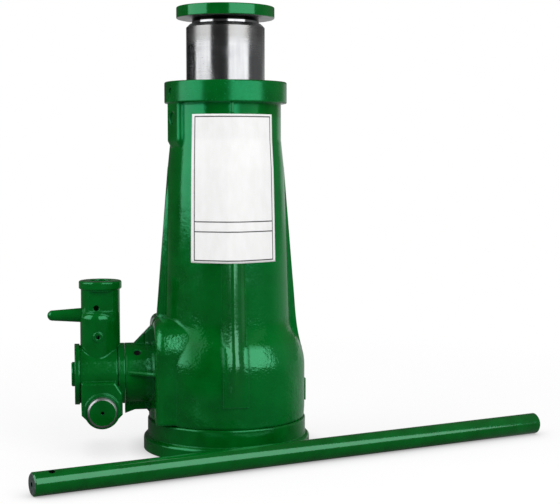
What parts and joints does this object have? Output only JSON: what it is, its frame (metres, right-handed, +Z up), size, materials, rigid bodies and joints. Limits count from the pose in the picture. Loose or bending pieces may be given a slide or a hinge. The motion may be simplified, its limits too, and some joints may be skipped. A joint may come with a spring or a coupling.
{
  "type": "screw jack",
  "caption": "Ribbed screw jack that lifts a load on a swivel cap, wound by a reversible ratchet head through bevel gears, with its loose round handle.",
  "frame": {"origin": "Centre of the round foot's underside", "axes": "+Z is up along the lifting screw, the pinion shaft and ratchet head point along -X, and the front rib faces -Y"},
  "size_m": [0.3822, 0.1963, 0.3202],
  "materials": {
    "paint": "glossy green paint",
    "steel": "machined steel",
    "dark_steel": "dark oxide steel",
    "bronze": "machined bronze",
    "felt": "pressed felt"
  },
  "bodies": {
    "frame": {"base_plate": "paint", "base_screws": "dark_steel", "bearing_lower_race": "steel", "pilot_bush": "bronze", "main_housing": "paint", "pinion_bush": "bronze", "bush_lock_screw": "dark_steel", "guide_key": "steel", "guide_key_screw": "dark_steel", "oil_screw": "dark_steel", "wiper_ring": "felt"},
    "screw": {"lifting_screw": "steel", "bevel_gear": "steel", "gear_key": "steel", "bearing_upper_race": "steel"},
    "cage": {"bearing_balls": "steel", "ball_cage": "bronze"},
    "sleeve": {"lifting_sleeve": "steel", "lifting_nut": "bronze", "nut_lock_screws": "dark_steel", "cap_screw": "dark_steel"},
    "cap": {"head_cap": "paint"},
    "pinion": {"pinion_shaft": "steel", "ratchet_wheel": "steel", "wheel_key": "steel", "wheel_ring": "dark_steel"},
    "head": {"ratchet_head": "paint", "head_cover": "paint", "cover_screws": "dark_steel", "crank_peg": "paint", "pawl_pivot_pin": "steel", "shift_stop_screw": "dark_steel"},
    "pawl": {"pawl": "steel"},
    "shifter": {"shift_pin": "steel"},
    "handle": {"handle_bar": "paint"}
  },
  "joints": [
    {"name": "screw_spin", "type": "hinge", "parent": "frame", "child": "screw", "pos_m": [0, 0, 0], "axis": [0, 0, -1], "range_deg": [-2412, 6588]},
    {"name": "sleeve_lift", "type": "slide", "parent": "frame", "child": "sleeve", "axis": [0, 0, 1], "range_m": [-0.04021, 0.10981]},
    {"name": "pinion_spin", "type": "hinge", "parent": "frame", "child": "pinion", "pos_m": [0, 0, 0.05558], "axis": [1, 0, 0], "range_deg": [-6031, 16471]},
    {"name": "cage_spin", "type": "hinge", "parent": "frame", "child": "cage", "pos_m": [0, 0, 0], "axis": [0, 0, -1], "range_deg": [-1207, 3295]},
    {"name": "cap_swivel", "type": "hinge", "parent": "sleeve", "child": "cap", "pos_m": [0, 0, 0.31], "axis": [0, 0, 1], "continuous": true},
    {"name": "head_swing", "type": "hinge", "parent": "frame", "child": "head", "pos_m": [0, 0, 0.05558], "axis": [1, 0, 0], "range_deg": [-90, 90]},
    {"name": "direction_shift", "type": "slide", "parent": "head", "child": "shifter", "axis": [0, 1, 0], "range_m": [-0.0014, 0.0014]},
    {"name": "pawl_rock", "type": "hinge", "parent": "head", "child": "pawl", "pos_m": [-0.09171, 0, 0.03408], "axis": [1, 0, 0], "range_deg": [-12.01, 12.01]},
    {"name": "handle_lift", "type": "slide", "parent": "frame", "child": "handle", "axis": [0, 0, 1], "range_m": [0, 0.3]}
  ],
  "couplings": [
    {"joint": "sleeve_lift", "follows": "screw_spin", "m_per_rad": 0.00095493},
    {"joint": "pinion_spin", "follows": "screw_spin", "ratio": 2.5},
    {"joint": "cage_spin", "follows": "screw_spin", "ratio": 0.5},
    {"joint": "pawl_rock", "follows": "direction_shift", "rad_per_m": 149.6}
  ]
}
